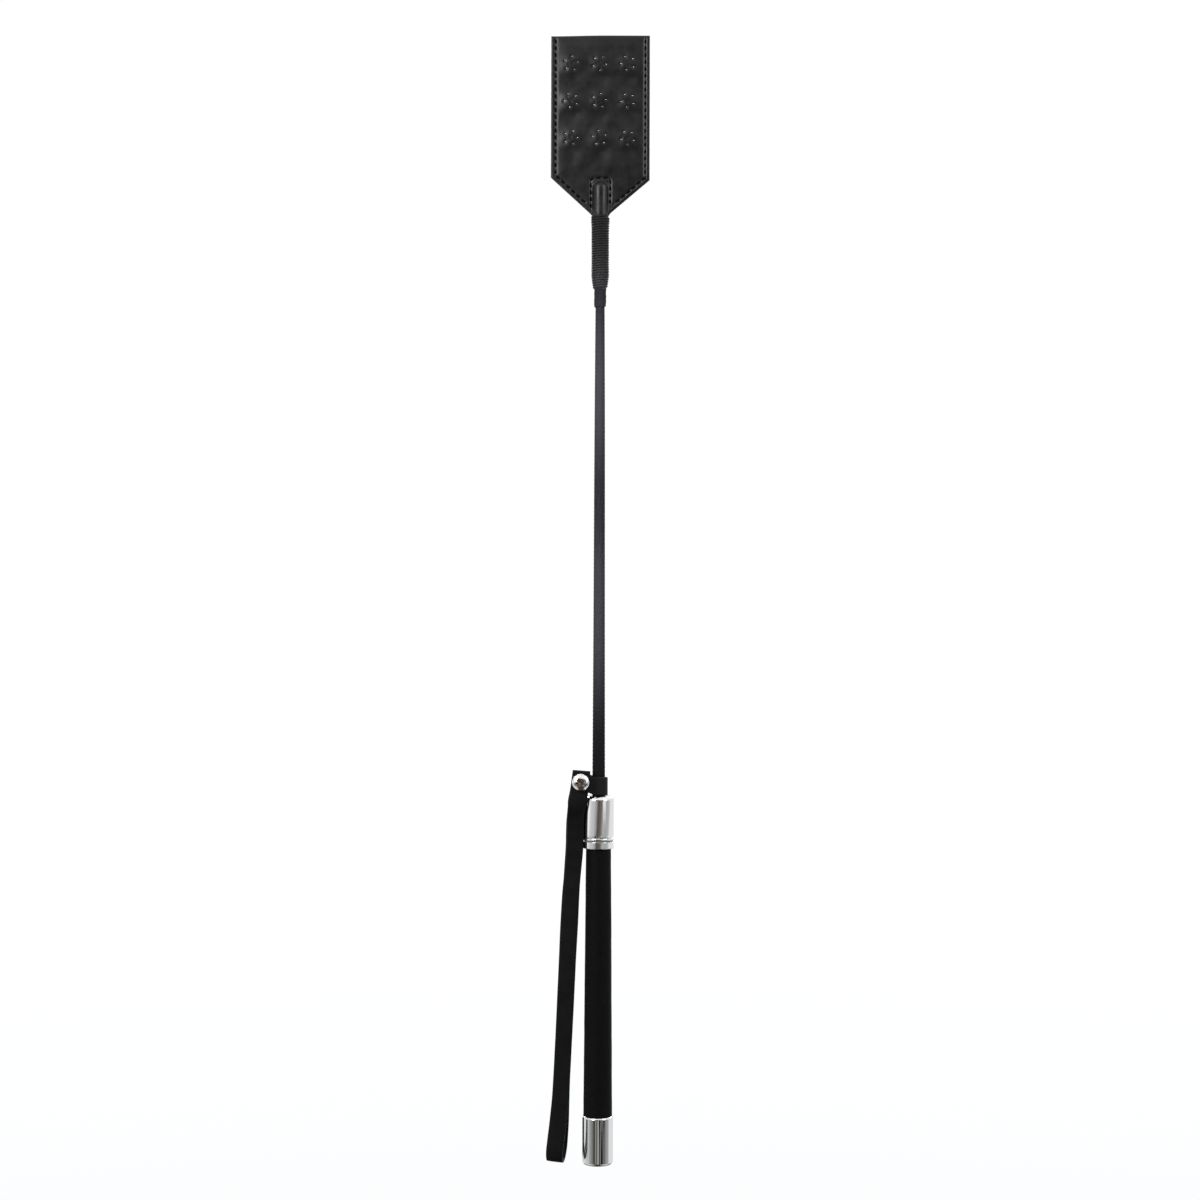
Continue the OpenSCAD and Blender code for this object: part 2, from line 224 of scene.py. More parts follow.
def polished_metal(name, color, roughness=0.035, reflection_at=None):
    """Plated metal with faint wiping marks and a very slightly uneven skin. Round the point
    reflection_at (x, z), in metres, a ragged brown spot is painted into the colour: a painted reflection of
    the warm, dark studio front."""
    look = Look(name, color, roughness, metallic=1.0)
    smears = look.noise(90, 4, where=look.stretched((1, 1, 0.25)))
    look.roughness(smears, roughness * 0.6, roughness * 2.2)
    if reflection_at:
        # Painted reflection: a ragged brown spot in the plating's colour.
        look.colors(look.painted_reflection_spot(reflection_at), REFLECTED_BROWN, color)
    else:
        look.colors(look.noise(45, 3), color, tuple(c * 0.93 for c in color))
    look.bump(look.noise(60, 2, where=look.stretched((1, 1, 0.5))), 0.12, 0.0004)
    look.bump(look.noise(2600, 2), 0.03, 0.00003)
    return look.material


def textile(name, dark, light, thread_scale, roughness=0.85, specular=0.14):
    """Spun threads: fine fibres along and across, with light and dark ones mixed."""
    look = Look(name, dark, roughness, specular=specular)
    fibres = look.noise(thread_scale, 3, 0.7)
    look.colors(look.remap(fibres, 0.3, 0.7), dark, light)
    look.roughness(look.noise(300, 3), roughness - 0.1, roughness + 0.08)
    look.bump(fibres, 0.5, 0.00008)
    look.set("Sheen Weight", 0.02)
    look.set("Sheen Roughness", 0.5)
    return look.material


def soft_rubber(name, dark, light):
    """Matte rubber: a fine sandy skin with a few dull marks."""
    look = Look(name, dark, 0.55, specular=0.05)
    look.colors(look.remap(look.noise(500, 5, 0.7), 0.35, 0.75), dark, light)
    look.roughness(look.noise(60, 4), 0.48, 0.62)
    look.bump(look.noise(1500, 4, 0.7), 0.35, 0.00012)
    look.bump(look.noise(90, 2), 0.15, 0.0004)
    return look.material


def moulded(name, dark, light, roughness):
    """A plain inner piece: grainy plastic, board or glass fibre."""
    look = Look(name, dark, roughness)
    look.colors(look.noise(900, 3), dark, light)
    look.bump(look.noise(1200, 3), 0.2, 0.00005)
    return look.material


CHROME = (0.88, 0.885, 0.89)
SHAFT_DARK = (0.0040, 0.0039, 0.0049)
STRAP_LIGHT = (0.0040, 0.0039, 0.0044)
FINE_GRAIN = (2000.0, 0.00004)

# Middle of the rivet's painted brown reflection, in metres.
REFLECTION_AT = (RIVET_X * MM, (RIVET_Z - REFLECTION_DROP) * MM)

LOOKS = {
    "chrome_plate": polished_metal("chrome_plate", CHROME),
    "rivet_plate": polished_metal("rivet_plate", CHROME, reflection_at=REFLECTION_AT),
    "stud_nickel": polished_metal("stud_nickel", (0.74, 0.75, 0.77), 0.12),
    "grip_rubber": soft_rubber("grip_rubber", (0.0018, 0.0018, 0.0020), (0.0034, 0.0034, 0.0037)),
    "shaft_braid": textile("shaft_braid", SHAFT_DARK, (0.0088, 0.0086, 0.0102), 1800, specular=0.04),
    "tip_tape": textile("tip_tape", SHAFT_DARK, (0.0084, 0.0082, 0.0098), 2200, specular=0.05),
    "binding_thread": textile(
        "binding_thread", (0.0060, 0.0059, 0.0067), (0.0124, 0.0121, 0.0134), 2600, 0.6, 0.15),
    "seam_thread": textile(
        "seam_thread", (0.0006, 0.0006, 0.0008), (0.0016, 0.0016, 0.0018), 3000, specular=0.04),
    "flap_leather": leather("flap_leather", (0.0034, 0.0033, 0.0041), (0.0050, 0.0049, 0.0058), 0.35),
    "strap_leather": leather(
        "strap_leather", (0.0026, 0.0025, 0.0029), STRAP_LIGHT, 0.40, *FINE_GRAIN, 0.12),
    "keeper_leather": leather(
        "keeper_leather", (0.0024, 0.0023, 0.0027), STRAP_LIGHT, 0.46, *FINE_GRAIN, 0.09),
    "core_plastic": moulded("core_plastic", (0.10, 0.095, 0.09), (0.14, 0.13, 0.12), 0.6),
    "fibreglass": moulded("fibreglass", (0.62, 0.57, 0.40), (0.78, 0.73, 0.55), 0.35),
    "board": moulded("board", (0.22, 0.22, 0.22), (0.30, 0.30, 0.30), 0.8),
}


# ---- mesh helpers ----

def make_object(name, points_mm, faces, look):
    """A smooth mesh object from points in millimetres."""
    mesh = bpy.data.meshes.new(name)
    mesh.from_pydata([tuple(p) for p in np.asarray(points_mm, float) * MM], [], [tuple(f) for f in faces])
    mesh.materials.append(LOOKS[look])
    mesh.polygons.foreach_set("use_smooth", [True] * len(mesh.polygons))
    mesh.update()
    piece = bpy.data.objects.new(name, mesh)
    scene.collection.objects.link(piece)
    return piece


def grid_faces(rows, columns):
    """Quads of a grid of points whose columns close into a ring."""
    return [
        (i * columns + j, i * columns + (j + 1) % columns,
         (i + 1) * columns + (j + 1) % columns, (i + 1) * columns + j)
        for i in range(rows - 1) for j in range(columns)
    ]


def ring_angles(sides):
    return np.arange(sides) * 2 * math.pi / sides


def arc(r0, z0, radius, from_deg, to_deg, steps=8):
    """Points of a rounded edge in a turned profile, as (radius, height)."""
    angles = np.radians(np.linspace(from_deg, to_deg, steps + 1))
    return [(r0 + radius * math.cos(a), z0 + radius * math.sin(a)) for a in angles]


def turned_points(profile, sides):
    """Rings round the Z axis, one for each point of the profile."""
    return np.array([
        (r * math.cos(a), r * math.sin(a), z) for r, z in profile for a in ring_angles(sides)
    ])


def turned(name, profile, look, sides=192):
    """A piece turned round the Z axis from an open or closed profile of (radius, height)."""
    profile = [(max(r, 0.0005), z) for r, z in profile]
    return make_object(name, turned_points(profile, sides), grid_faces(len(profile), sides), look)


class Mesh:
    """Several parts that are gathered into one mesh."""

    def __init__(self):
        self.points, self.faces = [], []

    def add(self, points, faces):
        first = len(self.points)
        self.points.extend(map(tuple, points))
        self.faces.extend(tuple(first + i for i in f) for f in faces)

    def add_tube(self, sections):
        """Rings of equal size joined into a tube with closed ends."""
        rows, columns = len(sections), len(sections[0])
        faces = grid_faces(rows, columns)
        last = (rows - 1) * columns
        faces += [tuple(reversed(range(columns))), tuple(last + i for i in range(columns))]
        self.add([p for s in sections for p in s], faces)

    def build(self, name, look):
        return make_object(name, self.points, self.faces, look)


def tube(name, sections, look):
    """A piece that is one tube through its sections."""
    mesh = Mesh()
    mesh.add_tube(sections)
    return mesh.build(name, look)


def turned_y(mesh, x, z, profile, sides, side=-1, dents=None):
    """Adds a solid turned about Y through (x, z), from a profile of (radius, distance to that side)."""
    points = []
    for r, y in profile:
        for a in ring_angles(sides):
            px, pz = r * math.cos(a), r * math.sin(a)
            dent = dents(px, pz) if dents and y >= profile[0][1] + 0.8 else 0
            points.append((x + px, side * (y + dent), z + pz))
    mesh.add(points, grid_faces(len(profile), sides))


def strip_cut(sections, steps, axis):
    """Flat size and area of a strip in metres, from its sections and the steps between them."""
    widths = np.array([np.ptp(np.array(section)[:, axis]) for section in sections])
    area = np.sum(np.array(steps) * (widths[1:] + widths[:-1]) / 2)
    return (float(widths.max()) * MM, float(np.sum(steps)) * MM), float(area) * MM * MM


def unit(v):
    return v / max(np.linalg.norm(v), 1e-9)


def heading(path, n):
    """Direction of a path at its point n, in the first two of its numbers."""
    before, after = path[max(n - 1, 0)], path[min(n + 1, len(path) - 1)]
    return unit(np.array([after[0] - before[0], after[1] - before[1]]))


def smooth_step(x, low, high):
    t = np.clip((x - low) / (high - low), 0, 1)
    return t * t * (3 - 2 * t)


def eased(values, place):
    """Runs softly from each value to the next as the place rises by one."""
    first, share = divmod(place, 1)
    ease = smooth_step(share, 0, 1)
    return values[int(first)] * (1 - ease) + values[int(first) + 1] * ease


def bell(distance, width):
    """1 at no distance, falling smoothly to 0 over a few widths."""
    return np.exp(-((distance / width) ** 2))


class Waves:
    """Soft unevenness: a seeded sum of sine waves over two coordinates in millimetres."""

    def __init__(self, seed, shortest, longest, count=14):
        rng = random.Random(seed)
        self.parts = []
        for _ in range(count):
            length, turn = rng.uniform(shortest, longest), rng.uniform(0, 2 * math.pi)
            k = 2 * math.pi / length
            self.parts.append((k * math.cos(turn), k * math.sin(turn), rng.uniform(0, 6.28)))

    def __call__(self, a, b):
        return sum(np.sin(p * a + q * b + r) for p, q, r in self.parts) / math.sqrt(len(self.parts) / 2)


# ---- handle ----

_, cap_high = box_mm("end_cap")
grip_low, grip_high = box_mm("rubber_grip")
ring_low, ring_high = box_mm("trim_ring")
collar_low, collar_high = box_mm("front_collar")

CAP_R = cap_high[0]
CAP_TOP = cap_high[2] + 1.0
GRIP_R_LOW = grip_high[0]
GRIP_R_TOP = 7.15
GRIP_IN = 5.95
RING_R = ring_high[0]
COLLAR_R = collar_high[0]
SHAFT_R = 3.55


def build_end_cap():
    """A drawn cup with a rounded bottom edge and a rolled mouth round the grip."""
    foot, lip, wall, rise, floor_z = 1.7, 1.0, 0.6, 0.6, 2.0
    profile = [(0, rise), (CAP_R - foot - 1.5, rise), (CAP_R - foot - 0.5, rise + 0.02)]
    profile += arc(CAP_R - foot, foot + rise, foot, -88, 0, 14)
    profile += [(CAP_R, z) for z in np.linspace(foot + rise + 0.12, CAP_TOP - lip - 0.12, 30)]
    profile += arc(CAP_R - lip, CAP_TOP - lip, lip, 0, 90, 10)
    profile += [(GRIP_R_LOW - 0.3, CAP_TOP - 0.1), (CAP_R - wall, CAP_TOP - wall - 0.6)]
    profile += [(CAP_R - wall, floor_z + 0.6), (0, floor_z)]
    return turned("end_cap_shell", profile, "chrome_plate")


def build_grip():
    """A tapered rubber sleeve with soft ends, and the small unevenness of moulded rubber."""
    sides, end_r, fullness = 96, 0.9, 1.012
    low, high = grip_low[2], grip_high[2]
    heights = np.linspace(low + end_r + 1, high - end_r - 1, 110)
    share = (heights - low) / (high - low)
    profile = [(GRIP_IN, low + 0.02)] + arc(GRIP_R_LOW - end_r, low + end_r, end_r, -90, 0)
    profile += list(zip(GRIP_R_LOW + (GRIP_R_TOP - GRIP_R_LOW) * share, heights))
    profile += arc(GRIP_R_TOP - end_r, high - end_r, end_r, 0, 90) + [(GRIP_IN, high)]
    points = turned_points(profile, sides)
    uneven = Waves(3, 9, 40)
    angle = np.arctan2(points[:, 1], points[:, 0])
    radius = np.hypot(points[:, 0], points[:, 1])
    swell = fullness + 0.0035 * uneven(angle * 8, points[:, 2]) * (radius > GRIP_IN + 0.4)
    points[:, :2] *= swell[:, None]
    return make_object("grip_sleeve", points, grid_faces(len(profile), sides), "grip_rubber")


def build_trim_ring():
    """A band with a narrow groove under its rounded top edge."""
    low, high = ring_low[2], ring_high[2] + 1.2
    band_r, groove_r, edge_r, top_r, bore_r = RING_R - 0.05, RING_R - 1.1, 0.14, 0.7, 8.35
    groove_low, groove_high = high - 2.35, high - 1.45
    profile = [(bore_r, low + 0.05)]
    profile += arc(RING_R - 0.5, low + 0.5, 0.45, -90, 0, 8)
    profile += [(band_r, z) for z in (low + 0.6, low + 1.2, groove_low - 1.2, groove_low - edge_r - 0.06)]
    profile += arc(band_r - edge_r, groove_low - edge_r, edge_r, 0, 90, 5)
    profile += [(groove_r + 0.1, groove_low), (groove_r, groove_low + 0.1)]
    profile += [(groove_r, groove_high - 0.1), (groove_r + 0.1, groove_high)]
    profile += arc(RING_R - edge_r, groove_high + edge_r, edge_r, -90, 0, 5)
    profile += [(RING_R, groove_high + edge_r + 0.06), (RING_R, high - top_r - 0.06)]
    profile += arc(RING_R - top_r, high - top_r, top_r, 0, 88, 12)
    profile += [(8.0, high), (8.0, groove_low), (bore_r, low + 0.05)]
    return turned("trim_ring_bead", profile, "chrome_plate")


def build_collar():
    """A cap over the grip's upper end: a straight wall with a slight foot, and a rounded shoulder."""
    low, high = collar_low[2], collar_high[2] + 0.4
    shoulder, hole_r, bore_r = 2.5, SHAFT_R + 0.12, 8.35
    profile = [(bore_r, low + 0.02), (COLLAR_R - 0.35, low + 0.02)]
    profile += arc(COLLAR_R - 0.25, low + 0.25, 0.22, -80, 20, 6)
    profile += [(COLLAR_R - 0.08, low + 0.7), (COLLAR_R - 0.03, low + 1.1)]
    profile += [(COLLAR_R, z) for z in np.linspace(low + 1.8, high - shoulder - 0.12, 24)]
    profile += arc(COLLAR_R - shoulder, high - shoulder, shoulder, 0, 88, 20)
    profile += arc(hole_r + 0.35, high - 0.35, 0.35, 90, 180, 6)
    profile += [(hole_r, high - 0.6), (5.0, high - 0.65)]
    profile += [(bore_r - 0.05, high - shoulder), (bore_r, low + 0.02)]
    return turned("front_collar_shell", profile, "chrome_plate")


end_cap = build_end_cap()
grip = build_grip()
trim_ring = build_trim_ring()
collar = build_collar()


# ---- braided shaft ----

sleeve_low, sleeve_high = box_mm("tip_sleeve")
TAPER_FROM = 226.0
SHAFT_R_TOP = 2.45
SLEEVE_R = sleeve_high[0]


def shaft_radius(z):
    share = np.clip((z - TAPER_FROM) / (sleeve_low[2] - TAPER_FROM), 0, 1)
    return SHAFT_R + (SHAFT_R_TOP - SHAFT_R) * share


def braid_height(theta, z, strands, cell_height):
    """Height of a plain two-way braid, from about 0 in the gaps to 1 on the strands that lie on top."""
    around_shaft = strands * theta / (2 * math.pi)
    u, v = around_shaft + z / cell_height, around_shaft - z / cell_height
    i, j = np.floor(u), np.floor(v)
    over = np.cos(math.pi * (i + j))
    a, b = u - i - 0.5, v - j - 0.5
    strand_a = np.cos(math.pi * a) ** 0.7 * (0.62 + 0.38 * over * np.cos(math.pi * b))
    strand_b = np.cos(math.pi * b) ** 0.7 * (0.62 - 0.38 * over * np.cos(math.pi * a))
    return np.maximum(strand_a, strand_b)


def build_braid():
    """The textile cover: two sets of strands wound both ways round the rod."""
    sides, strands, cell_height, relief = 72, 12, 2.3, 0.24
    low, high = collar_high[2] - 3, sleeve_low[2] + 4
    rows = int((high - low) / 0.36)
    z = np.repeat(np.linspace(low, high, rows), sides)
    theta = np.tile(ring_angles(sides), rows)
    height = braid_height(theta, z, strands, cell_height)
    radius = shaft_radius(z) + 0.14 + 0.2 * bell(z - 425, 90) - relief * (1 - height)
    points = np.stack([radius * np.cos(theta), radius * np.sin(theta), z], 1)
    return make_object("shaft_braid_cover", points, grid_faces(rows, sides), "shaft_braid")


def build_tip_sleeve():
    """Cloth tape under the whipping, with a slightly ragged lower end."""
    sides = 72
    top = sleeve_low[2] + 14
    uneven = Waves(11, 1.2, 5)
    lumps = Waves(12, 3, 9)
    theta = ring_angles(sides)
    rings = []
    edge_z = sleeve_low[2] + 0.35 * np.sin(theta + 0.6) + 0.16 * uneven(theta * SLEEVE_R, 0 * theta)
    for inset, rise in ((0.95, 0.5), (0.5, 0.02), (0.15, 0.0), (0.02, 0.35)):
        rings.append((SLEEVE_R - inset + 0 * theta, edge_z + rise))
    for share in np.linspace(0.06, 1, 34):
        z = edge_z + (top - edge_z) * share
        wrap = 0.05 * np.sin((z - theta * 0.5) * 2 * math.pi / 3.2)
        rings.append((SLEEVE_R + 0.05 * lumps(theta * SLEEVE_R, z) + wrap - 0.02, z))
    points = np.concatenate([np.stack([r * np.cos(theta), r * np.sin(theta), z], 1) for r, z in rings])
    return make_object("tip_tape_sleeve", points, grid_faces(len(rings), sides), "tip_tape")


braid = build_braid()
tip_sleeve = build_tip_sleeve()


# ---- thread whipping ----

whip_low, whip_high = box_mm("whipping_thread")
WHIP_Z, NECK_Z = whip_low[2], whip_high[2]
WHIP_R, WHIP_LIP_R = 4.95, whip_high[0]
WHIP_CONE = 10.0
WHIP_PITCH = 1.39


def whip_radius(z):
    """Radius over the whipping: a short cone, a barrel, and a lip at the top."""
    foot_r = SLEEVE_R + 0.3
    cone = foot_r + (WHIP_R - foot_r) * np.sin(np.clip((z - WHIP_Z) / WHIP_CONE, 0, 1) * math.pi / 2)
    lip = (WHIP_LIP_R - WHIP_R) * smooth_step(z, NECK_Z - 9, NECK_Z - 3)
    return cone + lip + 0.22


def build_whipping():
    """One thread wound in a tight helix, over a dark bed that closes the gaps between turns."""
    thread_r, sides, steps, start_angle, start_depth = 0.68, 8, 30, -1.1, 0.6
    rng = random.Random(5)
    turns = int((NECK_Z - WHIP_Z - 2 * thread_r) / WHIP_PITCH)
    drift = [rng.uniform(-0.04, 0.04) for _ in range(turns + 2)]
    swell = [rng.uniform(-0.03, 0.05) for _ in range(turns + 2)]
    sections = []
    for k in range(turns * steps + 1):
        turn = k / steps
        angle = 2 * math.pi * turn + start_angle
        z = WHIP_Z + thread_r + turn * WHIP_PITCH + eased(drift, turn)
        r = whip_radius(z) - thread_r + eased(swell, turn) - start_depth * max(0, 1 - 2 * turn)
        out = np.array([math.cos(angle), math.sin(angle), 0])
        up = np.array([0, 0, 1.0])
        centre = out * r + up * z
        sections.append([
            centre + thread_r * (math.cos(a) * out + math.sin(a) * up) for a in ring_angles(sides)
        ])
    mesh = Mesh()
    mesh.add_tube(sections)
    bed = [(SLEEVE_R - 0.1, WHIP_Z + 0.4)]
    bed += [(whip_radius(z) - 0.75, z) for z in np.linspace(WHIP_Z + 0.6, NECK_Z - 0.7, 30)]
    bed += [(SLEEVE_R - 0.1, NECK_Z - 0.6)]
    mesh.add(turned_points(bed, 48), grid_faces(len(bed), 48))
    return mesh.build("tip_whipping", "binding_thread")


whipping = build_whipping()


# ---- tongue ----

_, cover_high = box_mm("flap_cover")

TOP_Z = cover_high[2] + 0.3
HALF_W = cover_high[0]
HALF_T = cover_high[1]
LAYER_GAP = 0.09
EDGE_T = 1.42
PADDING = 0.78
SIDE_Z = {-1: 568.4, 1: 567.1}
SIDE_X = {-1: 28.6, 1: 28.3}
NECK_X = {-1: 6.15, 1: 5.8}
NECK_TOP = NECK_Z + 1
UNDER_LIP = NECK_Z - 2
SEAM_INSET = 2.6
STITCH_PITCH = 4.0
STITCH_LENGTH = 3.05
POCKET_R = 4.7
POCKET_END = 566.3
POCKET_SEAM_X = 5.65

stud_low, stud_high = box_mm("dome_studs")
STUD_R = 4.75
STUD_X, STUD_Z = (np.linspace(stud_low[k] + STUD_R, stud_high[k] - STUD_R, 3) for k in (0, 2))
PRONGS = 5
PRONG_R = 3.9
STUDS = [
    (x, z, math.radians(97 * i + 41 * k + 13 * i * k))
    for i, x in enumerate(STUD_X) for k, z in enumerate(STUD_Z)
]


def edge_x(z, side):
    """Distance of the cut edge from the middle, on one side, at a height."""
    heights = [UNDER_LIP, NECK_Z - 0.6, NECK_TOP, SIDE_Z[side], TOP_Z]
    widths = [4.5, 4.75, NECK_X[side], SIDE_X[side], SIDE_X[side] - 0.05]
    return np.interp(z, heights, widths)


def seam_path(side):
    """The stitched line of one side, from the top down to the pocket, as points (x, z)."""
    slope = math.atan2(SIDE_Z[side] - NECK_TOP, SIDE_X[side] - NECK_X[side])
    corner_z = SIDE_Z[side] + SEAM_INSET * math.tan((math.pi / 2 - slope) / 2)
    end_x = POCKET_SEAM_X + 1.3
    seam_x = SIDE_X[side] - SEAM_INSET
    end_z = corner_z - (seam_x - end_x) * math.tan(slope)
    return [(side * seam_x, TOP_Z - 1.6), (side * seam_x, corner_z), (side * end_x, end_z)]


def pocket_path():
    """The stitched line round the pocket that holds the rod's tip."""
    low, high, corner = NECK_Z + 3.4, POCKET_END + 1.8, 2.6
    left = [(-POCKET_SEAM_X, low), (-POCKET_SEAM_X, high - corner)]
    turn = [
        (-POCKET_SEAM_X + corner - corner * math.cos(a), high - corner + corner * math.sin(a))
        for a in np.radians([20, 40, 60, 80])
    ]
    half = left + turn
    return half + [(-x, z) for x, z in reversed(half)]


def along(path, distance):
    """Point and direction at a distance along a path."""
    for (x0, z0), (x1, z1) in zip(path, path[1:]):
        length = math.hypot(x1 - x0, z1 - z0)
        if distance <= length or (x1, z1) == path[-1]:
            share = distance / length
            return x0 + (x1 - x0) * share, z0 + (z1 - z0) * share, math.atan2(z1 - z0, x1 - x0)
        distance -= length


def path_length(path):
    return sum(math.dist(a, b) for a, b in zip(path, path[1:]))


def stitches_of(path, start=STITCH_PITCH / 2, slant=0.0):
    """Middle and angle of each stitch along a path."""
    length = path_length(path)
    count = int((length - start) / STITCH_PITCH) + 1
    pitch = (length - start) / count
    found = []
    for i in range(count):
        x, z, angle = along(path, start + i * pitch)
        found.append((x, z, angle + slant))
    return found


SEAMS = [seam_path(-1), seam_path(1), pocket_path()]
STITCHES = stitches_of(SEAMS[0], slant=0.10) + stitches_of(SEAMS[1], slant=-0.10)
STITCHES += stitches_of(SEAMS[2], 1.6, 0.06)


def distance_to(path, x, z):
    """Distance of each point from a path."""
    best = np.full(np.shape(x), 1e9)
    for (x0, z0), (x1, z1) in zip(path, path[1:]):
        dx, dz = x1 - x0, z1 - z0
        share = np.clip(((x - x0) * dx + (z - z0) * dz) / (dx * dx + dz * dz), 0, 1)
        best = np.minimum(best, np.hypot(x - x0 - share * dx, z - z0 - share * dz))
    return best


def stitch_hollows(x, z):
    """The pits that the tight stitches press into the leather."""
    depth = np.zeros(np.shape(x))
    for cx, cz, angle in STITCHES:
        near = (abs(x - cx) < 4) & (abs(z - cz) < 4)
        if not near.any():
            continue
        dx, dz = x[near] - cx, z[near] - cz
        on = dx * math.cos(angle) + dz * math.sin(angle)
        off = -dx * math.sin(angle) + dz * math.cos(angle)
        ends = bell(np.abs(on) - STITCH_LENGTH / 2, 0.5) * bell(off, 0.62)
        bed = smooth_step(STITCH_LENGTH / 2 + 0.3 - np.abs(on), 0, 0.8) * bell(off, 0.62)
        depth[near] += 0.28 * bed + 0.15 * ends
    return depth


def pocket_bulge(x, z, radius):
    """Half thickness over the rod's tip: a half round that closes at its upper end."""
    end = np.clip((z - (POCKET_END - 4.5)) / 4.5, 0, 1)
    r = radius * np.sqrt(np.clip(1 - end ** 2.4, 0, 1))
    r = r * (1 - 0.05 * smooth_step(NECK_Z + 1 - z, 0, 3))
    return np.sqrt(np.clip(r * r - x * x, 0, None))


def soft_max(a, b, softness):
    return (a + b + np.sqrt((a - b) ** 2 + softness ** 2)) / 2


def stud_relief(x, z, front):
    """What the studs do to the leather. In front: a mound, a fall below it, puckers, and pits under
    the prongs. Behind: a dimple round the head."""
    mound, dimple, pucker, fall_depth, pit = 0.8, 0.28, 0.04, 0.54, 0.33
    fall_from, fall_reach, fall_end = 3.8, 4.2, 17
    relief = np.zeros(np.shape(x))
    for cx, cz, phase in STUDS:
        r = np.hypot(x - cx, z - cz)
        if front:
            relief += mound * bell(r, 5.0) - dimple * bell(r, 2.4)
            relief += pucker * pucker_waves(x, z) * bell(np.maximum(r - 2.2, 0), 1.6)
            below = cz - fall_from - z
            fall = smooth_step(below, 0, fall_reach) * (1 - smooth_step(below, fall_reach, fall_end))
            relief -= fall_depth * fall * bell(x - cx - 0.4, 5.0)
            for k in range(PRONGS):
                angle = phase + 2 * math.pi * k / PRONGS
                px, pz = cx + PRONG_R * math.cos(angle), cz + PRONG_R * math.sin(angle)
                relief -= pit * bell(np.hypot(x - px, z - pz), 0.78)
            turn = np.arctan2(z - cz, x - cx)
            relief += 0.03 * np.cos(PRONGS * (turn - phase) + math.pi) * bell(r - 4.9, 1.5)
        else:
            relief -= 0.22 * bell(r - STUD_R - 0.1, 0.9)
            relief -= 0.10 * bell(r, 7.0)
    return relief


tone_waves = Waves(21, 14, 45)
fine_waves = Waves(22, 4, 11)
pucker_waves = Waves(23, 1.6, 3.2)


def outer_face(x, z, front):
    """Distance of the leather's outer face from the middle plane."""
    left_seam, right_seam, pocket_seam = (distance_to(path, x, z) for path in SEAMS)
    side_seam = np.minimum(left_seam, right_seam)
    seam = np.minimum(side_seam, pocket_seam)
    rim = np.where(x < 0, edge_x(z, -1), edge_x(z, 1)) - np.abs(x)
    inside = smooth_step(rim, SEAM_INSET, SEAM_INSET + 4)
    padding = PADDING * (1 - np.exp(-side_seam / 3.4)) * (rim > SEAM_INSET)
    face = EDGE_T + padding * smooth_step(TOP_Z - z, -3, 7) * smooth_step(z, NECK_Z + 6, NECK_Z + 30)
    face = face - 0.22 * smooth_step(2.0 - rim, 0, 2.0)
    face = face - 0.24 * bell(seam, 0.9) - stitch_hollows(x, z)
    face = face + 0.02 * tone_waves(x, z) * inside + 0.008 * fine_waves(x, z)
    face = face + stud_relief(x, z, front) * inside
    face = soft_max(face, pocket_bulge(x, z, POCKET_R), 0.35)
    return np.maximum(face, 0.9)


def face_height(x, z, front):
    """The outer face's distance at one point."""
    return float(outer_face(np.array([x]), np.array([z]), front)[0])


def inner_face(x, z):
    return np.maximum(LAYER_GAP, pocket_bulge(x, z, POCKET_R - 1.15))


def top_line(x):
    """How far the folded top edge dips below the tip's height."""
    return 0.55 * smooth_step(-x, -4, HALF_W)


def tongue_section(z_rest, front):
    """One closed section across the strip: the outer face, the two cut edges and the inner face."""
    edge_r, shoulder_t, outer_count, inner_count = 0.32, 0.45, 121, 33
    cut = edge_r * 0.3
    dip = smooth_step(z_rest, TOP_Z - 60, TOP_Z)
    left, right = -edge_x(z_rest, -1), edge_x(z_rest, 1)
    outer_x = np.linspace(left + edge_r, right - edge_r, outer_count)
    outer_y = outer_face(outer_x, np.full(outer_count, z_rest), front)
    inner_x = np.linspace(right - 0.2, left + 0.2, inner_count)
    inner_y = inner_face(inner_x, np.full(inner_count, z_rest))
    first, last = outer_y[0], outer_y[-1]
    xs = np.array([
        left + cut, *outer_x, right - cut, right, right, right - 0.08,
        *inner_x, left + 0.08, left, left,
    ])
    ys = np.array([
        first - cut, *outer_y, last - cut, last - edge_r, shoulder_t, LAYER_GAP + 0.1,
        *inner_y, LAYER_GAP + 0.1, shoulder_t, first - edge_r,
    ])
    return xs, ys, z_rest - top_line(xs) * dip


def build_tongue():
    """One strip of leather: up the front, over the tip and down the back."""
    bend_z, row_step = TOP_Z - HALF_T, 0.5
    rows = np.concatenate([
        np.arange(UNDER_LIP, SIDE_Z[1], row_step),
        [SIDE_Z[1], SIDE_Z[-1]],
        np.arange(SIDE_Z[-1] + row_step, bend_z, row_step),
    ])
    sections = []
    for z in rows:
        x, y, height = tongue_section(z, True)
        sections.append(np.stack([x, -y, height], 1))
    x, y, height = tongue_section(bend_z, True)
    y_back = tongue_section(bend_z, False)[1]
    for a in np.radians(np.linspace(0, 180, 13)):
        share = a / math.pi
        reach = y * (1 - share) + y_back * share
        sections.append(np.stack([x, -reach * math.cos(a), height + HALF_T * math.sin(a)], 1))
    for z in rows[::-1]:
        x, y, height = tongue_section(z, False)
        sections.append(np.stack([x, y, height], 1))
    travel = [np.linalg.norm(np.median(b - a, axis=0)) for a, b in zip(sections, sections[1:])]
    return tube("tongue_leather", sections, "flap_leather"), *strip_cut(sections, travel, 0)


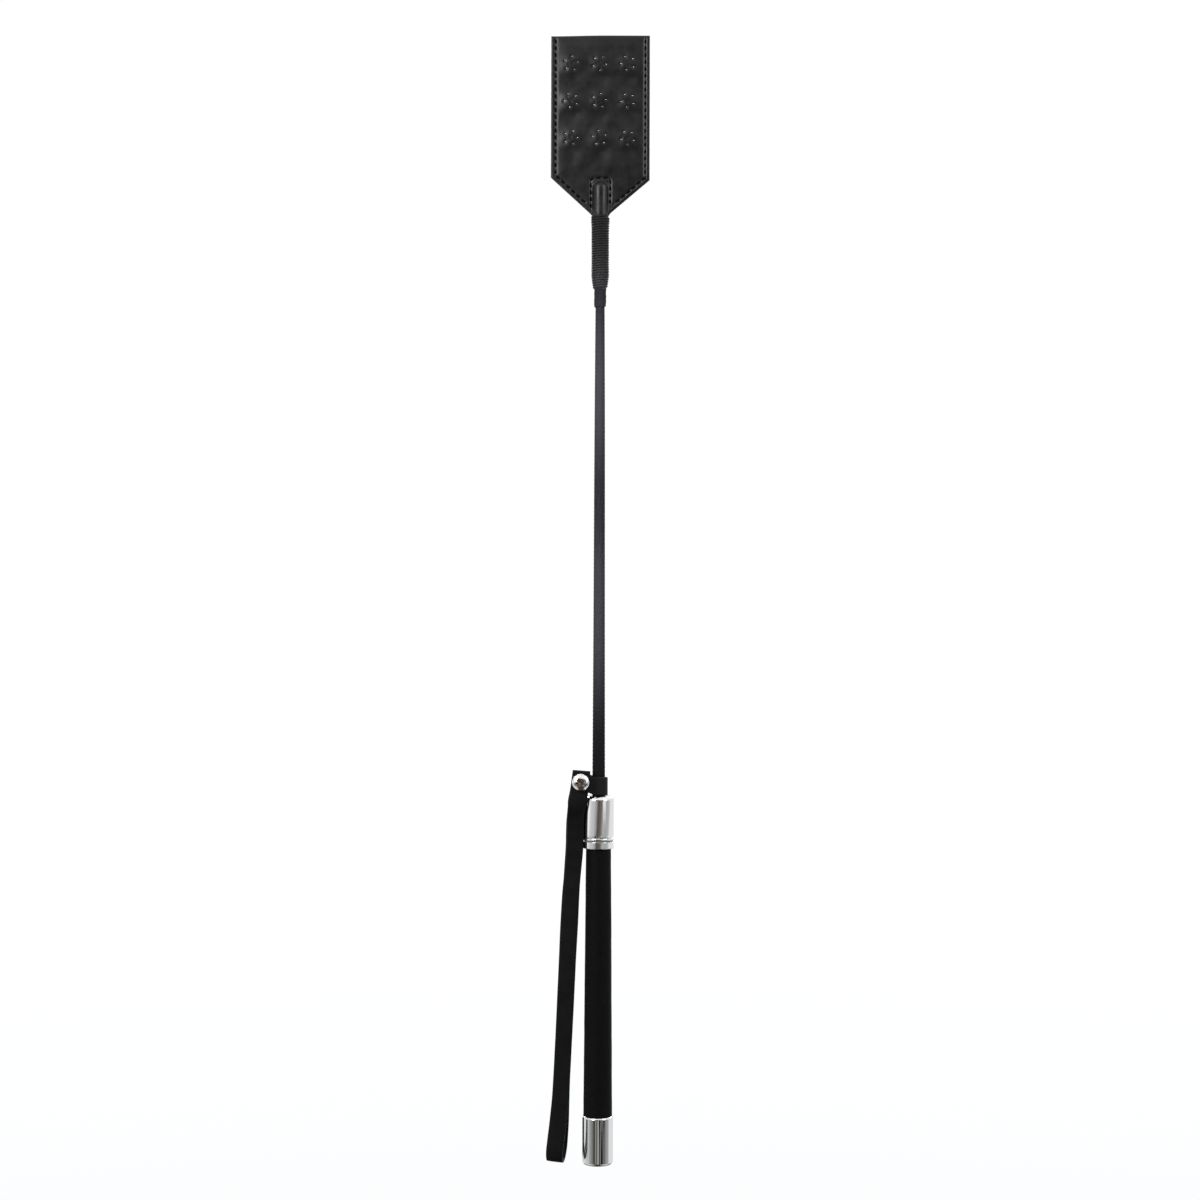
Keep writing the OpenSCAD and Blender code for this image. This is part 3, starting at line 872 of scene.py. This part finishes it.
def build_stitches():
    """Every stitch on both faces: a short twisted thread whose ends go down into its holes."""
    thread_r, sides, rings, flatness, twist = 0.54, 6, 9, 0.8, 2.2
    mesh = Mesh()
    for x, z, angle in STITCHES:
        run = np.array([math.cos(angle), 0, math.sin(angle)])
        across = np.array([-math.sin(angle), 0, math.cos(angle)])
        for front in (True, False):
            face = face_height(x, z, front)
            normal = np.array([0, -1 if front else 1, 0])
            sections = []
            for s in np.linspace(-1, 1, rings):
                lift = face + 0.30 - 0.75 * abs(s) ** 3
                centre = np.array([x, 0, z]) + run * s * STITCH_LENGTH / 2 + normal * lift
                r = thread_r * (1 - 0.35 * abs(s) ** 4) * (1 + 0.07 * math.cos(9 * s))
                sections.append([
                    centre + r * (math.cos(a) * across + math.sin(a) * normal * flatness)
                    for a in ring_angles(sides) + twist * s
                ])
            mesh.add_tube(sections)
    return mesh.build("tongue_stitches", "seam_thread")


# Distance from the stud's middle, lift off the leather and half width, along one prong
PRONG_PATH = [
    (4.08, -1.0, 0.27), (4.08, 0.04, 0.27), (4.03, 0.18, 0.26), (3.92, 0.25, 0.24),
    (3.80, 0.20, 0.20), (3.69, 0.04, 0.15), (3.60, -0.28, 0.07),
]
PRONG_HALF_T = 0.12
PRONG_OUTLINE = ((-1, -0.4), (-0.6, -1), (0.6, -1), (1, -0.4), (1, 0.4), (0.6, 1), (-0.6, 1), (-1, 0.4))


def add_prong(mesh, cx, cz, angle):
    """One prong that comes through the leather and folds over towards the stud's middle."""
    out = np.array([math.cos(angle), 0, math.sin(angle)])
    across = np.array([-math.sin(angle), 0, math.cos(angle)])
    base = face_height(cx + PRONG_R * out[0], cz + PRONG_R * out[2], True)
    sections = []
    for n, (r, lift, half_w) in enumerate(PRONG_PATH):
        travel = heading(PRONG_PATH, n)
        normal = travel[1] * out + travel[0] * np.array([0, 1, 0])
        centre = np.array([cx, -(base + lift), cz]) + out * r
        sections.append([
            centre + a * half_w * across + b * PRONG_HALF_T * normal for a, b in PRONG_OUTLINE
        ])
    mesh.add_tube(sections)


def build_studs():
    """Nine domed heads on the back, each with five prongs that come through and fold over in front."""
    head_h, rim_r = 2.4, 0.22
    sphere_r = (STUD_R ** 2 + head_h ** 2) / (2 * head_h)
    rim_angle = math.degrees(math.acos((STUD_R - 0.25) / sphere_r))
    head = [(0.001, HALF_T - 0.3), (STUD_R - 0.5, HALF_T - 0.3)]
    head += arc(STUD_R - rim_r, HALF_T - 0.02, rim_r, -90, 20, 4)
    head += arc(0, HALF_T + head_h - sphere_r, sphere_r, rim_angle, 89.9, 12)
    mesh = Mesh()
    for cx, cz, phase in STUDS:
        turned_y(mesh, cx, cz, head, 48, side=1)
        for k in range(PRONGS):
            add_prong(mesh, cx, cz, phase + 2 * math.pi * k / PRONGS)
    return mesh.build("tongue_studs", "stud_nickel")


tongue, tongue_cut, tongue_area = build_tongue()
stitches = build_stitches()
studs = build_studs()


# ---- keeper band, rivet and wrist strap ----

keeper_low, keeper_high = box_mm("keeper_ring")
strap_low, strap_high = box_mm("wrist_strap")

BAND_T = 1.3
BAND_R = keeper_high[0] - 0.02
BAND_LOW, BAND_HIGH = keeper_low[2] + 0.3, keeper_high[2]
BAND_TILT = 0.11
RIVET_R = (rivet_high[0] - rivet_low[0]) / 2
RIVET_BASE, RIVET_TIP = -rivet_high[1], -rivet_low[1]
TAB_R = 4.6
TAB_FROM_X = -2.8

STRAP_W, STRAP_T = 9.7, 1.1
STRAP_END_EXTRA = 0.5
STRAP_NECK_EXTRA = 0.9
STRAP_TOP = strap_high[2] - 0.1
STRAP_Y = -6.675
CLOSED = 0.625  # half the opening where the two runs lie on each other
FOLD_R = 7.8
FOLD_Z = strap_low[2] + FOLD_R + STRAP_T / 2
FRONT_TAB_Y = -8.65
BACK_TAB_Y = -4.7

# Height and sideways place of the loop's middle line
STRAP_LINE = [
    (5, -23.9), (10, -23.5), (14, -23.1), (23, -22.3), (37, -21.4), (56, -20.5), (83, -19.2), (102, -18.4),
    (130, -17.1), (157, -15.8), (166, -15.1), (175, -14.35), (180, -13.95), (184, -13.75), (189, -13.65),
    (193, -13.6), (197, -13.5), (200, -13.4), (203, -13.1), (206.5, -12.6), (210, -12.0), (213.5, -11.5),
    (220, -10.7), (228, -9.7),
]
# Height, and the loop's depth, half its opening and its twist in degrees there
STRAP_SHAPE = [
    (10, 1.6, 7.8, 8.5), (20, 1.45, 7.75, 6.7), (30, 1.3, 7.65, 3.8), (40, 1.1, 7.45, 1),
    (48, 0.95, 7.3, 0), (60, 0.7, 7.0, 0), (90, 0, 6.1, 0), (120, -0.8, 4.9, 1),
    (140, -1.4, 4.0, 3), (157, -1.9, 3.2, 2),
    (170, -2.35, 2.6, -2), (178, -2.6, 2.2, -6), (184, -2.85, 1.9, -9), (189, -3.1, 1.7, -10.5),
    (193, -3.4, 1.55, -11), (196, -3.8, 1.4, -11), (200, -4.5, 1.15, -10), (203, -5.35, 0.95, -8),
    (206.5, -6.35, 0.75, -5), (210, -6.85, CLOSED, -2), (213, -6.75, CLOSED, 0), (218, STRAP_Y, CLOSED, 0),
    (228, STRAP_Y, CLOSED, 0),
]


def smoothed(z, table, column, spread):
    """A column of a table at a height, averaged over a short stretch so that it bends softly."""
    heights, values = [row[0] for row in table], [row[column] for row in table]
    return sum(np.interp(z + d * spread, heights, values) for d in (-2, -1, 0, 1, 2)) / 5


def strap_x(z):
    return smoothed(z, STRAP_LINE, 1, 1.0)


def strap_centre(z):
    return np.array([strap_x(z), smoothed(z, STRAP_SHAPE, 1, 0.6), z])


def strap_axes(z):
    """The strap's directions at a height: across it, through the leather, and down along it."""
    lean = math.atan2(strap_x(z + 3) - strap_x(z - 3), 6)
    turn = math.radians(smoothed(z, STRAP_SHAPE, 3, 1.0))
    across = np.array([math.cos(lean) * math.cos(turn), -math.sin(turn), -math.sin(lean) * math.cos(turn)])
    through = np.array([math.cos(lean) * math.sin(turn), math.cos(turn), -math.sin(lean) * math.sin(turn)])
    down = np.array([-math.sin(lean), 0, -math.cos(lean)])
    return across, through, down


def strap_layer(z, side):
    across, through, _ = strap_axes(z)
    apart = smoothed(z, STRAP_SHAPE, 2, 1.0)
    return strap_centre(z) + side * apart * through, across, side * through


def strap_fold(angle):
    across, through, down = strap_axes(FOLD_Z)
    apart = smoothed(FOLD_Z, STRAP_SHAPE, 2, 1.0)
    out = apart * (math.sin(angle) * down - math.cos(angle) * through)
    return strap_centre(FOLD_Z) + out, across, unit(out)


def strip_section(centre, across, outward, width, thickness, edge_r=0.28, crown=0.0):
    """A rounded rectangular section of a leather strip, with a crowned outer face."""
    half_w, half_t, cut = width / 2, thickness / 2, edge_r * 0.3
    spread = np.linspace(-1, 1, 9)
    corner = [(half_w - cut, half_t - cut), (half_w, half_t - edge_r)]
    points = [(a * (half_w - edge_r), half_t + crown * (1 - a * a)) for a in spread]
    points += corner + [(p, -q) for p, q in reversed(corner)]
    points += [(a * (half_w - edge_r), -half_t) for a in reversed(spread)]
    points += [(-p, -q) for p, q in corner] + [(-p, q) for p, q in reversed(corner)]
    return [centre + p * across + q * outward for p, q in points]


def build_strap():
    """One strip of leather folded into a loop, whose two ends meet under the rivet."""
    levels = np.concatenate([np.arange(STRAP_TOP, 178, -0.8), np.linspace(178, FOLD_Z, 90)])
    stations = [strap_layer(z, -1) for z in levels]
    stations += [strap_fold(a) for a in np.radians(np.linspace(0, 180, 41)[1:-1])]
    stations += [strap_layer(z, 1) for z in levels[::-1]]
    uneven = Waves(31, 12, 60)
    sections = []
    for n, (centre, across, outward) in enumerate(stations):
        width = STRAP_W + 0.05 * uneven(n * 1.9, 0) + STRAP_END_EXTRA * smooth_step(centre[2], 206, 209)
        width += STRAP_NECK_EXTRA * bell(centre[2] - 210, 5)
        sections.append(strip_section(centre, across, outward, width, STRAP_T, crown=0.10))
    length = sum(np.linalg.norm(b[0] - a[0]) for a, b in zip(stations, stations[1:]))
    return tube("wrist_strap_leather", sections, "strap_leather"), length * MM


def band_plan():
    """The band's middle line seen from above: front tab, round the shaft, back tab."""
    def tab(y, angle_deg, turn):
        a = math.radians(angle_deg)
        touch = np.array([-turn * BAND_R * math.sin(a), turn * BAND_R * math.cos(a)])
        reach = (y - touch[1]) / math.sin(a)
        return touch, touch + reach * np.array([math.cos(a), math.sin(a)])

    front_touch, front_bend = tab(FRONT_TAB_Y, 48, -1)
    back_touch, back_bend = tab(BACK_TAB_Y, 67, 1)
    end_x = RIVET_X - TAB_R + 0.05
    start = math.atan2(front_touch[1], front_touch[0])
    stop = math.atan2(back_touch[1], back_touch[0])
    corners = [np.array([end_x, FRONT_TAB_Y]), front_bend, front_touch]
    ring = [BAND_R * np.array([math.cos(a), math.sin(a)]) for a in np.linspace(start, stop, 40)[1:-1]]
    rough = corners + ring + [back_touch, back_bend, np.array([end_x, BACK_TAB_Y])]
    dense = []
    for a, b in zip(rough, rough[1:]):
        steps = max(1, int(np.linalg.norm(b - a) / 0.35))
        dense += [a + (b - a) * i / steps for i in range(steps)]
    dense.append(rough[-1])
    line = np.array(dense)
    for _ in range(14):
        line[1:-1] = line[1:-1] * 0.5 + (line[:-2] + line[2:]) * 0.25
    return line


def build_band():
    """The keeper band: its tabs are cut round where the rivet holds them."""
    line = band_plan()
    sections = []
    for n, (x, y) in enumerate(line):
        travel = heading(line, n)
        outward = np.array([travel[1], -travel[0], 0])
        on_tab = y < -BAND_R or (n > len(line) / 2 and x < -BAND_R)
        low, high = BAND_LOW, BAND_HIGH
        tilt = BAND_TILT * (BAND_R - x)
        if on_tab and x < TAB_FROM_X:
            share = min(1, (TAB_FROM_X - x) / (TAB_FROM_X - RIVET_X))
            half = math.sqrt(max(TAB_R ** 2 - min(0, x - RIVET_X) ** 2, 0.05))
            low = BAND_LOW + (RIVET_Z - half - BAND_LOW) * share
            high = BAND_HIGH + (RIVET_Z + half - BAND_HIGH) * share
            tilt *= 1 - share
        centre = np.array([x, y, (low + high) / 2 + tilt])
        sections.append(strip_section(centre, np.array([0, 0, 1.0]), outward, high - low, BAND_T, 0.22))
    steps = np.linalg.norm(np.diff(line, axis=0), axis=1)
    return tube("keeper_band_leather", sections, "keeper_leather"), *strip_cut(sections, steps, 2)


def build_rivet():
    """A domed cap with a rolled rim, its post through the leather, and the flange behind."""
    mesh = Mesh()
    rise, rim_r = RIVET_TIP - RIVET_BASE, 0.28
    uneven = Waves(41, 1.7, 4.5)

    def dents(a, b):
        return 0.075 * uneven(a, b) * bell(math.hypot(a, b + 1.0), 3.0)

    cap = [(0.01, RIVET_BASE + 0.05), (RIVET_R - 0.5, RIVET_BASE)]
    cap += arc(RIVET_R - rim_r, RIVET_BASE + rim_r, rim_r, -90, 10, 5)
    for r in np.linspace(RIVET_R - 0.12, 0.01, 26):
        dome = math.sqrt(max(1 - (r / RIVET_R) ** 2.5, 0))
        cap.append((r, RIVET_BASE + rise * (0.16 + 0.84 * dome)))
    turned_y(mesh, RIVET_X, RIVET_Z, cap, 96, dents=dents)
    post_r, flange_r, flange_t, rear = 1.6, 3.1, 0.9, 4.2
    post = [(0.01, rear - flange_t), (flange_r - 0.5, rear - flange_t)]
    post += arc(flange_r - 0.35, rear - 0.5, 0.35, -80, 10, 5)
    post += [(flange_r, rear), (post_r, rear), (post_r, RIVET_BASE + 0.5), (0.01, RIVET_BASE + 0.5)]
    turned_y(mesh, RIVET_X, RIVET_Z, post, 64)
    return mesh.build("rivet_domed", "rivet_plate")


strap, strap_length = build_strap()
band, band_cut, band_area = build_band()
rivet = build_rivet()


# ---- every piece on its body ----

def place(piece, body, slot, *nodes):
    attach(piece, body)
    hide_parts(*nodes)


place(end_cap, "crop", "chrome", "end_cap")
place(grip, "crop", "grip_rubber", "rubber_grip")
place(trim_ring, "crop", "chrome", "trim_ring")
place(collar, "crop", "chrome", "front_collar")
place(braid, "crop", "braid", "braided_sleeve")
place(tip_sleeve, "crop", "tip_tape", "tip_sleeve")
place(whipping, "crop", "thread", "whipping_thread")
place(studs, "tongue", "stud_metal", "dome_studs")
place(band, "swivel", "strap_leather", "keeper_ring", "keeper_tabs")
place(rivet, "swivel", "chrome", "rivet_cap", "rivet_post")
place(strap, "strap", "strap_leather", "wrist_strap")

for piece, nodes, slot in (
    (tongue, ("flap_cover", "flap_front_neck", "flap_back_neck"), "flap_leather"),
    (stitches, ("edge_stitching", "neck_stitching", "pocket_stitching"), "thread"),
):
    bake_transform(piece)
    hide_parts(*nodes)

for node, look_name in (
    ("butt_plug", "core_plastic"), ("handle_core", "core_plastic"), ("collar_spacer", "core_plastic"),
    ("rod_core", "fibreglass"), ("rod_tip_cap", "core_plastic"), ("flap_filler", "board"),
):
    node_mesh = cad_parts[node].data
    node_mesh.materials.clear()
    node_mesh.materials.append(LOOKS[look_name])


# ---- studio ----

BLACK, WHITE = (0.0, 0.0, 0.0), (1.0, 1.0, 1.0)
BROWN = (0.075, 0.052, 0.040)
OLIVE = (0.31, 0.30, 0.25)
CREAM = (0.66, 0.64, 0.52)
BACKDROP_GLOW = 1.02


def around(stops):
    """Ramp stops from degrees round the crop, from the camera's side, and a grey or a color."""
    return [
        ((degrees + 180) / 360, tone if isinstance(tone, tuple) else (tone, tone, tone))
        for degrees, tone in stops
    ]


def studio_world():
    """White to the camera. What the metal mirrors is a studio: bright sides and back, a dim front
    with the dark shapes of the people and stands by the camera, a bright ceiling and a dim ground."""
    world = bpy.data.worlds.new("studio")
    world.use_nodes = True
    world.node_tree.nodes.clear()
    build = Nodes(world.node_tree)
    calc, mix = build.math, build.mix
    x, y, z = build.split(build.add("ShaderNodeTexCoord", "Generated", {}))
    azimuth = calc("ARCTAN2", x, calc("MULTIPLY", y, -1))
    turn = calc("MULTIPLY_ADD", azimuth, 1 / (2 * math.pi), 0.5)
    height = calc("MULTIPLY_ADD", calc("ARCSINE", z), 1 / math.pi, 0.5)

    def rising(low_deg, high_deg, kind="LINEAR"):
        """0 below one elevation and 1 above another."""
        return build.remap(height, low_deg / 180 + 0.5, high_deg / 180 + 0.5, kind=kind)

    def above(low_deg, high_deg):
        return rising(low_deg, high_deg, "SMOOTHSTEP")

    def beside(degrees, opening):
        """Turn left over between a direction and the edge of an opening round it."""
        off = calc("ABSOLUTE", calc("SUBTRACT", turn, (degrees + 180) / 360))
        return calc("SUBTRACT", off, opening)

    lean_middle, lean_reach, lean_turn = -5.69, 0.7875, 12.6 / 360
    lean_share = rising(lean_middle - lean_reach, lean_middle + lean_reach)
    lean = calc("MULTIPLY_ADD", lean_share, -2 * lean_turn, lean_turn)
    shelf = build.ramp(calc("ADD", turn, lean), around([
        (-180, 1.0), (-80, 1.0), (-73, 0.80), (-62, 0.62), (-40, 0.58), (-30, 0.44), (-21, 0.34),
        (-16, 0.24), (-11, (0.085, 0.062, 0.050)), (-6, (0.060, 0.042, 0.034)), (0, (0.15, 0.12, 0.10)),
        (6, (0.16, 0.13, 0.12)), (12, (0.09, 0.075, 0.065)), (20, 0.22), (28, 0.38), (36, 0.48), (46, 0.40),
        (60, 0.42), (74, 0.48), (82, 0.60), (88, 0.82), (96, 0.9), (106, 0.84), (180, 1.0),
    ]))
    ground = build.ramp(turn, around([
        (-180, 0.75), (-100, 0.80), (-78, 0.62), (-60, 0.36), (-40, 0.20), (-31, 0.13), (-29, 0.0),
        (-23, 0.0), (-20, OLIVE), (-16, (0.27, 0.26, 0.21)), (-10, 0.15), (-3, 0.09), (0.5, OLIVE),
        (3, CREAM), (6, CREAM), (8.5, 0.02), (15, 0.0), (17, 0.28), (22, 0.26), (37, 0.26), (41, 0.15),
        (58, 0.18), (66, 0.33), (78, 0.33), (88, 0.5), (98, 0.84), (180, 0.75),
    ]))
    sky = build.ramp(turn, around([
        (-180, 0.8), (-100, 0.9), (-64, 0.6), (-50, 1.2), (-30, 1.2), (-22, 0.08), (-12, BROWN), (4, 0.06),
        (14, 0.22), (34, 0.20), (48, 0.7), (66, 0.6), (90, 0.9), (180, 0.8),
    ]))
    below = build.ramp(turn, around([
        (-180, 0.10), (-130, 0.12), (-100, 0.75), (-50, 0.70), (-32, 0.50), (-22, (0.08, 0.06, 0.045)),
        (22, (0.07, 0.055, 0.045)), (32, 0.50), (50, 0.70), (100, 0.75), (130, 0.12), (180, 0.10),
    ]))

    # A dark outline like the wrist loop's, open above and closed below, and a forked stand beside it
    hollow = calc("MULTIPLY", calc("SQRT", rising(-13.45, -13.02)), 20 / 360)
    rim = build.ramp(turn, around([(-180, 1), (-84, 1), (-80, 0), (180, 0)]))
    outside = calc("MULTIPLY", build.remap(beside(-119, hollow), 0, 2 / 360), rim)
    outline = calc("MULTIPLY", outside, above(-13.7, -13.6))
    fork = calc("MULTIPLY", rising(-12.95, -12.83), 17 / 360)
    stand = build.remap(calc("ABSOLUTE", beside(31, fork)), 10 / 360, 6 / 360)
    strip = build.ramp(turn, around([(-180, 0), (30, 0), (36, 1), (52, 1), (60, 0), (180, 0)]))

    looped = mix(calc("MAXIMUM", outline, stand), ground, BLACK)
    low_part = mix(above(-11, -8), looped, shelf)
    with_strip = mix(calc("MULTIPLY", strip, above(-5.5, -5.2)), low_part, (0.95, 0.95, 0.95))
    with_sky = mix(above(-2, 4), with_strip, sky)
    with_ceiling = mix(above(14, 30), with_sky, WHITE)
    near_floor = mix(above(-72, -52), (0.02, 0.02, 0.02), below)
    seen = mix(above(-34, -22), near_floor, with_ceiling)

    mirrored = build.add("ShaderNodeBackground", "Background", {"Color": seen})
    plain = build.add("ShaderNodeBackground", "Background", {"Color": rgba(WHITE), "Strength": BACKDROP_GLOW})
    to_camera = build.add("ShaderNodeLightPath", "Is Camera Ray", {})
    chosen = build.add("ShaderNodeMixShader", "Shader", {"Fac": to_camera, 1: mirrored, 2: plain})
    build.feed(world.node_tree.nodes.new("ShaderNodeOutputWorld").inputs["Surface"], chosen)
    scene.world = world


def lamp(name, kind, power, location, aim, **settings):
    """A light turned towards a point."""
    light = bpy.data.lights.new(name, kind)
    light.energy = power
    for setting, value in settings.items():
        setattr(light, setting, value)
    holder = bpy.data.objects.new(name, light)
    holder.location = location
    holder.rotation_euler = (aim - holder.location).to_track_quat("-Z", "Y").to_euler()
    scene.collection.objects.link(holder)


def softbox(name, azimuth_deg, elevation_deg, width, height, power):
    """An area light at an azimuth from the camera's side, turned towards the crop."""
    distance, aim = 1.5, Vector((0, 0, 0.35))
    a, e = math.radians(azimuth_deg), math.radians(elevation_deg)
    away = Vector((math.sin(a) * math.cos(e), -math.cos(a) * math.cos(e), math.sin(e)))
    lamp(name, "AREA", power, aim + away * distance, aim, shape="RECTANGLE", size=width, size_y=height)


def shaft_spot(name, height, power, spread_deg):
    """A narrow spot from the front that lights one stretch of the shaft."""
    lamp(name, "SPOT", power, Vector((-0.35, -1.3, height + 0.15)), Vector((0, 0, height)),
         spot_size=math.radians(spread_deg), spot_blend=1.0, shadow_soft_size=0.05)


def build_floor():
    """A plain pale floor well below the crop, which fades into the white background."""
    size, drop, reach = 8.0, 0.36, 6.5
    corners = [(x * size, y * size, -drop) for x, y in ((-1, -1), (1, -1), (1, 1), (-1, 1))]
    mesh = bpy.data.meshes.new("floor")
    mesh.from_pydata(corners, [], [(0, 1, 2, 3)])
    floor = bpy.data.objects.new("floor", mesh)
    look = Look("floor_white", (0.05, 0.05, 0.05), 0.9, specular=0.0)
    look.set("Emission Color", (0.985, 0.99, 1.0, 1))
    spread = look.add("ShaderNodeVectorMath", "Value", {0: look.place}, operation="LENGTH")
    glow = look.tree.nodes.new("ShaderNodeFloatCurve")
    levels = [(0, 0.86), (1.3, 0.89), (1.75, 0.921), (2.6, 0.9415), (3.9, 0.955), (5.6, 1.0), (reach, 1.0)]
    curve = glow.mapping.curves[0]
    for _ in levels[2:]:
        curve.points.new(0.5, 0.5)
    for point, (radius, level) in zip(curve.points, levels):
        point.location = (radius / reach, level)
    glow.mapping.update()
    look.feed(glow.inputs["Value"], look.remap(spread, 0, reach))
    look.set("Emission Strength", look.math("MULTIPLY", glow.outputs["Value"], BACKDROP_GLOW))
    mesh.materials.append(look.material)
    scene.collection.objects.link(floor)
    floor.visible_glossy = False


studio_world()
softbox("key_left", -36, 22, 0.55, 1.1, 16.5)
softbox("fill_right", 53, 22, 0.55, 1.1, 10)
softbox("back_left", 205, 28, 0.5, 0.9, 10)
softbox("back_right", 150, 28, 0.4, 0.9, 8)
shaft_spot("shaft_upper", 0.446, 1080, 4.4)
shaft_spot("shaft_lower", 0.320, 1450, 3.4)
build_floor()
